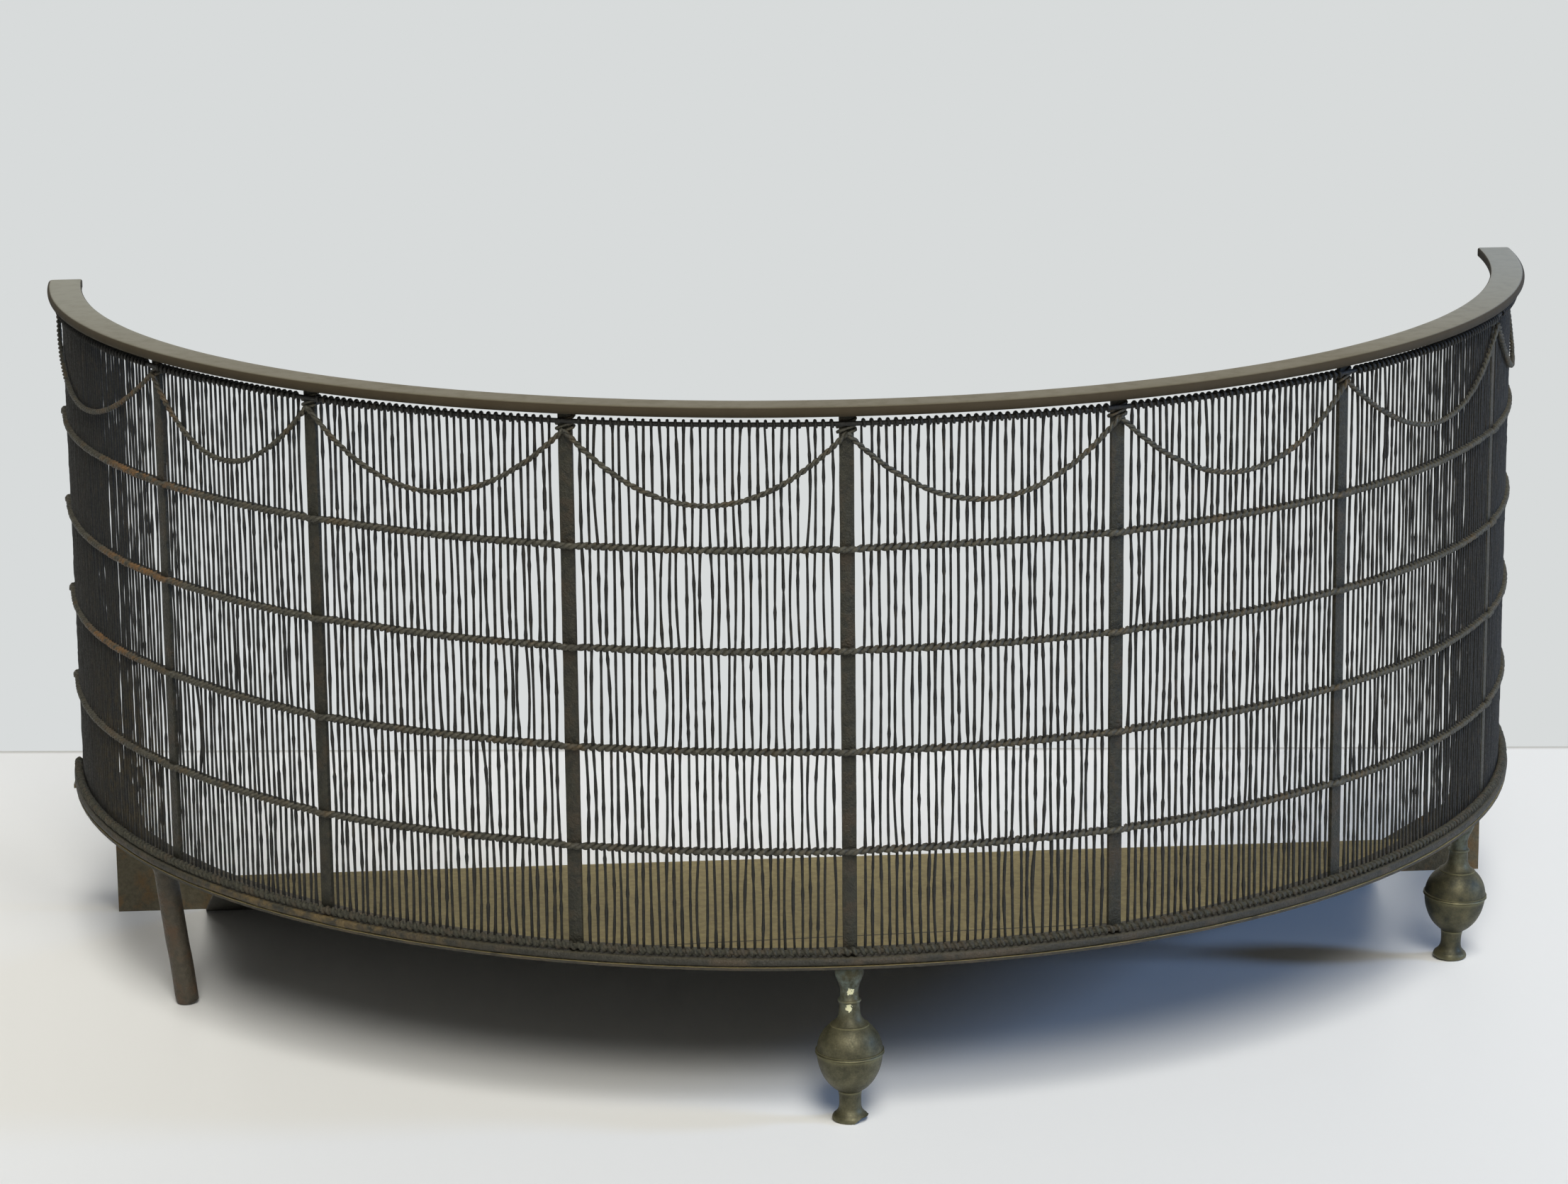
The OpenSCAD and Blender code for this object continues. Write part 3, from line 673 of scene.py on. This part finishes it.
def wound_run(radius, z):
    """A wire wound round a rod from end to end, one turn for each upright wire."""
    reach = post_arcs[-1] + rod_over - bottom_strand_d
    away = bottom_rope_r - bottom_strand_d / 2
    turn_steps = 10
    steps = round(2 * reach / wire_pitch) * turn_steps
    points = []
    for i in range(steps + 1):
        angle = 2 * math.pi * i / turn_steps
        arc = reach * (2 * i / steps - 1)
        swell = 1 + 0.2 * noise.noise(Vector((arc * 170, 7.3, 0)))
        place = on_bow(arc, radius + away * math.cos(angle), z - away * math.sin(angle))
        points.append((place, swell))
    return points


# Iron wire crusted with ash and rust: rough, greyer than the wires and without shine.
foot_iron = weathered_iron("crusted_bottom_rope", "#24241c", "#3f3e32", "#40382b", 0.5, metal=0.15,
                           rough=(0.6, 0.85), blotch_mm=9, bump_mm=0.5)
put(draw_wires("top_rod", [rod_run(rod_r, top_rod_z, 0.12)], 2 * top_rod_r, rounding=2),
    wire_iron, ["top_wire"])
bottom_r = screen_r + bottom_rope_r
bottom_rod = draw_wires("bottom_rod", [rod_run(bottom_r, bottom_rope_z, 0.2)], 2 * bottom_rod_r,
                        rounding=2)
winding = draw_wires("bottom_winding", [wound_run(bottom_r, bottom_rope_z)], bottom_strand_d)
for part in (bottom_rod, winding):
    put(part, foot_iron, ["bottom_rope"])

# ---- Level ropes ----
# Four ropes of two wires, twisted half a turn between neighbouring upright wires. One wire
# passes before each upright and the other behind, and both lie in front of the posts.

strand_d = 0.0036
pass_by = (wire_d + strand_d) / 2
rise = 0.0010
# How far out the ropes lie where they pass before a post, and how much they turn there.
before_post = screen_r + 0.0024 - wire_r
post_swing = 0.0008
samples = 4

# Twisted iron wire, its crowns rubbed: greyer than the uprights, with rust at the left.
left_spots = [((-0.52, bow_y - 0.30, 0.44), 0.10), ((-0.53, bow_y - 0.28, 0.36), 0.09),
              ((-0.56, bow_y - 0.22, 0.28), 0.08)]
rope_iron = weathered_iron("twisted_iron_rope", "#35342d", "#49473c", "#4c402c", 0.54,
                           metal=0.25, rough=(0.48, 0.72), blotch_mm=24, bump_mm=0.4,
                           spots=left_spots, spot_rust="#6b4f2e")


def lay_of_panel(number):
    """Places along a panel as (length round the face, half turns of the lay, before a post)."""
    start, end = post_arcs[number - 1], post_arcs[number]
    knots = [(start, 0, 1), (start + post_w / 2, 1, 1)]
    wires = panel_wires(number)
    knots += [(arc, 2 + index, 0) for index, arc in enumerate(wires)]
    last = len(wires) + 2
    return knots + [(end - post_w / 2, last, 1), (end, last + 1, 1)]


def between(knots, arc):
    """The lay and the share of a post at a length round the face."""
    for (a, lay_a, post_a), (b, lay_b, post_b) in zip(knots, knots[1:]):
        if arc <= b or b == knots[-1][0]:
            share = min(max((arc - a) / (b - a), 0), 1)
            return lay_a + (lay_b - lay_a) * share, post_a + (post_b - post_a) * share


def strand_offset(lay, before, which):
    """How far out and up one wire of the rope lies, at a count of half turns."""
    angle = math.pi * (lay + which)
    woven = pass_by * max(-1, min(1, 1.35 * math.cos(angle)))
    laid = before_post + post_swing * math.cos(angle)
    return woven + (laid - woven) * before, rise * math.sin(angle)


def row_height(row, arc):
    """A level rope's height, with the small waves that the weaver's hand left."""
    wave = 0.0012
    return row_heights[row - 1] + wave * noise.noise(Vector((arc * 6, row * 3.1, 0)))


def level_strands(number, row, first_lay):
    """The two wires of a level rope across a panel, and the half turns that they make there."""
    knots = lay_of_panel(number)
    start, end = knots[0][0], knots[-1][0]
    steps = samples * (len(knots) - 1)
    runs = ([], [])
    for i in range(steps + 1):
        arc = start + (end - start) * i / steps
        lay, before = between(knots, arc)
        z = row_height(row, arc)
        for which in (0, 1):
            out, up = strand_offset(lay + first_lay, before, which)
            swell = 1 + 0.24 * noise.noise(Vector((arc * 210, z * 90, which)))
            runs[which].append((on_bow(arc, wire_r + out, z + up), swell))
    return runs, knots[-1][1]


def post_loop(side, z, which):
    """The rope's end, turned round the back edge of a rear post and tucked in behind it."""
    edge = post_arcs[-1] + post_w / 2 - 0.002
    middle = screen_r - post_t / 2
    reach = post_t / 2 + strand_d * 0.6
    bend_steps, tail_steps, tail_step = 9, 12, 0.0011
    points = []
    for step in range(bend_steps + tail_steps + 1):
        swing = math.pi * min(step / bend_steps, 1)
        back = max(0, step - bend_steps) * tail_step
        angle = math.pi * (step * 0.42 + which)
        away = reach + post_swing * math.cos(angle)
        place = on_bow(side * (edge + away * math.sin(swing) - back),
                       middle + away * math.cos(swing), z + rise * math.sin(angle))
        points.append((place, 1))
    return points


for row in range(1, 5):
    strands = [post_loop(-1, row_height(row, post_arcs[0]), which)[::-1] for which in (0, 1)]
    lay = 0
    for number in range(1, 9):
        runs, turns = level_strands(number, row, lay)
        lay += turns
        for which in (0, 1):
            strands[which] += runs[which][:-1]
    for which in (0, 1):
        strands[which] += post_loop(1, row_height(row, post_arcs[-1]), which)
    put(draw_wires(f"level_rope_{row}", strands, strand_d), rope_iron,
        [f"row_rope_{row}"])

# ---- Swags ----
# The same rope, a little thinner, hung in a curve across each panel in front of its wires.
# Its ends are bound to the posts under the rail.

swag_strand_d = 0.0026
swag_twist = 0.0010
swag_lay = 0.0056
swag_rope_r = screen_r + 0.0026


def swag_height(share, hang_top, hang_low):
    """A hanging curve between two posts."""
    return hang_top - 4 * (hang_top - hang_low) * share * (1 - share)


def swag_strands(start, end, hang_top, hang_low):
    """The two wires of a swag, twisted evenly along its own length."""
    steps = 190
    middle = [(start + (end - start) * i / steps, swag_height(i / steps, hang_top, hang_low))
              for i in range(steps + 1)]
    runs = ([], [])
    along = 0
    for i, (arc, z) in enumerate(middle):
        before, after = middle[max(i - 1, 0)], middle[min(i + 1, steps)]
        run, climb = after[0] - before[0], after[1] - before[1]
        size = math.hypot(run, climb)
        if i:
            along += math.hypot(arc - middle[i - 1][0], z - middle[i - 1][1])
        for which in (0, 1):
            angle = math.pi * (along / swag_lay + which)
            up, out = swag_twist * math.sin(angle), swag_twist * math.cos(angle)
            swell = 1 + 0.16 * noise.noise(Vector((along * 160, start * 40, which)))
            place = on_bow(arc - up * climb / size, swag_rope_r + out, z + up * run / size)
            runs[which].append((place, swell))
    return runs


def binding(arc, low, high):
    """A wire bound slantwise round a post, over the ends of the swags."""
    turns = 2.5
    steps = 56
    slant = 0.0022
    half_w, half_t = post_w / 2 + 0.0009, post_t / 2 + 0.0011
    points = []
    for step in range(steps + 1):
        angle = 2 * math.pi * turns * step / steps
        side, out = math.sin(angle), math.cos(angle)
        squash = (abs(side) ** 4 + abs(out) ** 4) ** -0.25
        place = on_bow(arc + half_w * side * squash, screen_r - post_t / 2 + half_t * out * squash,
                       low + (high - low) * step / steps + slant * side)
        points.append((place, shake.uniform(0.8, 1.1)))
    return points


for number in range(1, 9):
    low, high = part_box(f"swag_{number}")
    hang_top, hang_low = high[2] - 0.0014, low[2] + swag_strand_d / 2 + swag_twist
    runs = list(swag_strands(post_arcs[number - 1], post_arcs[number], hang_top, hang_low))
    if number > 1:
        runs.append(binding(post_arcs[number - 1], hang_top - 0.001, top_rod_z + 0.002))
    put(draw_wires(f"swag_rope_{number}", runs, swag_strand_d), rope_iron,
        [f"swag_{number}"])

# ---- Rail ----
# Sheet brass folded round an iron bar, with a round nose to the front and its two lips
# turned in below. Years of hands and no polish have left it olive, with its ends painted
# greyer as a painted reflection of the wall.

rail_w = 0.028
rail_nose = 0.0109
lip = 0.005
rail_t = rail_high[2] - rail_low[2]
rail_over = 0.0148
rail_ri = screen_r + rail_nose - rail_w
groove_deep = 0.0016
rail = bent_bar("folded_brass_rail", rail_ri, rail_w, rail_low[2], rail_t,
                soft=0.0018, half_turn=end_turn + rail_over / screen_r, steps=320,
                notch=(rail_ri + lip, rail_ri + rail_w - rail_t / 2 - lip,
                       rail_low[2] + groove_deep))


def rail_brass():
    """Rolled brass sheet, unpolished: olive-brown, painted greyer to the ends as a painted
    reflection, and dark on the nose.

    Grime and painted shade darken the nose and the underside; there it is also rough and
    hardly metallic.
    """
    material, tree = blank_material("rolled_brass_rail")
    cloud = speckle(tree, 90, 4, 0.35, 0.68)
    stain = speckle(tree, 11, 6, 0.46, 0.7)
    fine = speckle(tree, 1.2, 3, 0.3, 0.7)
    skin = layer(tree, "#726c58", "#7f7a67", cloud)
    skin = layer(tree, skin, "#625c48", stain, 0.2)
    place = add_node(tree, "ShaderNodeTexCoord", {})
    parts = add_node(tree, "ShaderNodeSeparateXYZ", {"Vector": place.outputs["Object"]})
    # Painted reflection: the rail is painted greyer towards its ends, as the wall mirrored there.
    ends = add_node(tree, "ShaderNodeMapRange",
                    {"Value": parts.outputs["Y"], "From Min": -0.16, "From Max": 0.22}).outputs[0]
    skin = layer(tree, skin, "#97998f", ends, 0.75)
    # Painted reflection: the right end is painted a cooler grey still.
    right = add_node(tree, "ShaderNodeMapRange",
                     {"Value": parts.outputs["X"], "From Min": 0.2, "From Max": 0.55}).outputs[0]
    skin = layer(tree, skin, "#8f979b", ends, right, 0.8)
    face = add_node(tree, "ShaderNodeSeparateXYZ", {"Vector": place.outputs["Normal"]})
    # Painted shade with grime: faces turned from the top, the nose and underside, are painted dark.
    turned_down = add_node(tree, "ShaderNodeMapRange",
                           {"Value": face.outputs["Z"], "From Min": 0.95,
                            "From Max": 0.80}).outputs[0]
    skin = layer(tree, skin, "#30281d", turned_down, 0.9)
    metal = add_node(tree, "ShaderNodeMapRange",
                     {"Value": turned_down, "To Min": 0.7, "To Max": 0.0}).outputs[0]
    dull = add_node(tree, "ShaderNodeMapRange",
                    {"Value": stain, "To Min": 0.46, "To Max": 0.56}).outputs[0]
    dull = add_node(tree, "ShaderNodeMath", {0: turned_down, 1: 0.3, 2: dull},
                    operation="MULTIPLY_ADD").outputs[0]
    shine = add_node(tree, "ShaderNodeMapRange",
                     {"Value": turned_down, "To Min": 0.5, "To Max": 0.1}).outputs[0]
    relief = add_node(tree, "ShaderNodeBump", {"Height": fine, "Strength": 0.25,
                                               "Distance": 0.0001}).outputs[0]
    shader = add_node(tree, "ShaderNodeBsdfPrincipled",
                      {"Base Color": skin, "Roughness": dull, "Metallic": metal,
                       "Specular IOR Level": shine, "Normal": relief})
    add_node(tree, "ShaderNodeOutputMaterial", {"Surface": shader.outputs[0]})
    return material


roughen(rail, depth=0.0002, size=0.05)
pick_only(rail)
bpy.ops.object.shade_smooth_by_angle(angle=math.radians(50))
put(rail, rail_brass(), ["brass_rail", "rail_end_caps"])

# ---- Floor ----
# A pale painted floor, matt and even. The pale wall behind the fender is drawn on it, past
# the slanting line with a dark joint where the two would meet.

wall_y = 0.7326
wall_slant = 0.097
joint_w = 0.010


def backdrop_rays(tree):
    """1 for the rays that show what stands behind: the camera's, mirrored and let through."""
    path = add_node(tree, "ShaderNodeLightPath", {})
    seen = 0
    for ray in ("Is Camera Ray", "Is Glossy Ray", "Is Transmission Ray"):
        seen = add_node(tree, "ShaderNodeMath", {0: seen, 1: path.outputs[ray]},
                        operation="MAXIMUM").outputs[0]
    return seen


bpy.ops.object.select_all(action="DESELECT")
bpy.ops.mesh.primitive_plane_add(size=40, location=(0, 0, 0))
floor = bpy.context.object
floor.name = "floor"
floor_paint, floor_tree = blank_material("pale_floor_paint")
floor_place = add_node(floor_tree, "ShaderNodeTexCoord", {}).outputs["Object"]
depth = add_node(floor_tree, "ShaderNodeVectorMath", {0: floor_place, 1: (wall_slant, 1, 0)},
                 operation="DOT_PRODUCT").outputs["Value"]
past = add_node(floor_tree, "ShaderNodeMapRange", {"Value": depth, "From Min": wall_y - 0.001,
                                                  "From Max": wall_y + 0.001}).outputs[0]
joint = add_node(floor_tree, "ShaderNodeMapRange", {"Value": depth, "From Min": wall_y - joint_w,
                                                   "From Max": wall_y}).outputs[0]
floor_skin = layer(floor_tree, "#eceeee", "#8e8a80", joint, 0.75)
floor_shader = add_node(floor_tree, "ShaderNodeBsdfPrincipled",
                        {"Base Color": floor_skin, "Roughness": 0.5})
wall = add_node(floor_tree, "ShaderNodeEmission", {"Color": colour("#d8dbdb"), "Strength": 1})
as_wall = add_node(floor_tree, "ShaderNodeMath", {0: past, 1: backdrop_rays(floor_tree)},
                   operation="MULTIPLY").outputs[0]
shown = add_node(floor_tree, "ShaderNodeMixShader",
                 {0: as_wall, 1: floor_shader.outputs[0], 2: wall.outputs[0]})
add_node(floor_tree, "ShaderNodeOutputMaterial", {"Surface": shown.outputs[0]})
floor.data.materials.append(floor_paint)
floor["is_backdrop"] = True

# ---- Light ----
# Two soft lights over and behind the camera, one above the other, weak light from the rest
# of the room in front, and a bluer window low at the right. Metal also mirrors the wall.

world = bpy.data.worlds.new("room")
bpy.context.scene.world = world
world.use_nodes = True
room = world.node_tree
room.nodes.clear()
way = add_node(room, "ShaderNodeTexCoord", {}).outputs["Generated"]


def glow(middle, edge, core, strength):
    """Light from round a direction, full within one angle of it and gone past another."""
    aim = tuple(Vector(middle).normalized())
    towards = add_node(room, "ShaderNodeVectorMath", {0: way, 1: aim}, operation="DOT_PRODUCT")
    return add_node(room, "ShaderNodeMapRange",
                    {"Value": towards.outputs["Value"], "From Min": math.cos(math.radians(edge)),
                     "From Max": math.cos(math.radians(core)), "To Max": strength},
                    interpolation_type="SMOOTHSTEP").outputs[0]


behind = add_node(room, "ShaderNodeSeparateXYZ", {"Vector": way}).outputs["Y"]
wall_seen = add_node(room, "ShaderNodeMapRange", {"Value": behind, "From Min": 0.1, "From Max": 0.4,
                                                  "To Max": 0.66}).outputs[0]
mirrored = add_node(room, "ShaderNodeMath", {0: backdrop_rays(room), 1: wall_seen},
                    operation="MULTIPLY").outputs[0]
total = 0.06
for part in (glow((0.02, -0.74, 0.67), edge=12, core=7, strength=18.0),
             glow((0.06, -0.45, 0.89), edge=14, core=8, strength=12.2),
             glow((0, -1, 0.35), edge=62, core=20, strength=0.36), mirrored):
    total = add_node(room, "ShaderNodeMath", {0: total, 1: part}, operation="ADD").outputs[0]
light_of_room = add_node(room, "ShaderNodeBackground",
                         {"Color": colour("#fffbf3"), "Strength": total})
add_node(room, "ShaderNodeOutputWorld", {"Surface": light_of_room.outputs[0]})

window_place, window_aim = Vector((5.4, -0.76, 2.0)), Vector((0.3, -0.1, 0))
pane = bpy.data.lights.new("window", "AREA")
pane.shape = "SQUARE"
pane.size = 0.9
pane.energy = 133
pane.color = colour("#9cc4ff")[:3]
window = bpy.data.objects.new("window", pane)
bpy.context.collection.objects.link(window)
window.location = window_place
window.rotation_euler = (window_aim - window_place).to_track_quat("-Z", "Y").to_euler()

# ---- Camera ----
# The photograph's view: 3.8 m before the bow's middle and 1.2 m up, a little to the left,
# looking down by 14 degrees through a long lens.

camera_data = bpy.data.cameras.new("camera")
camera = bpy.data.objects.new("camera", camera_data)
bpy.context.collection.objects.link(camera)
bpy.context.scene.camera = camera
camera_data.sensor_width = 36
camera_data.lens = 107.4
camera.location = (-0.2709, bow_y - 3.8349, 1.2102)
yaw, pitch, roll = (math.radians(angle) for angle in (-3.978, -13.933, 0.601))
camera_turn = (Matrix.Rotation(yaw, 3, "Z") @ Matrix.Rotation(pitch, 3, "X")
               @ Matrix.Rotation(roll, 3, "Y") @ Matrix.Rotation(math.pi / 2, 3, "X"))
camera.rotation_euler = camera_turn.to_euler()

bpy.context.scene.view_settings.view_transform = "Standard"

low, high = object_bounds()
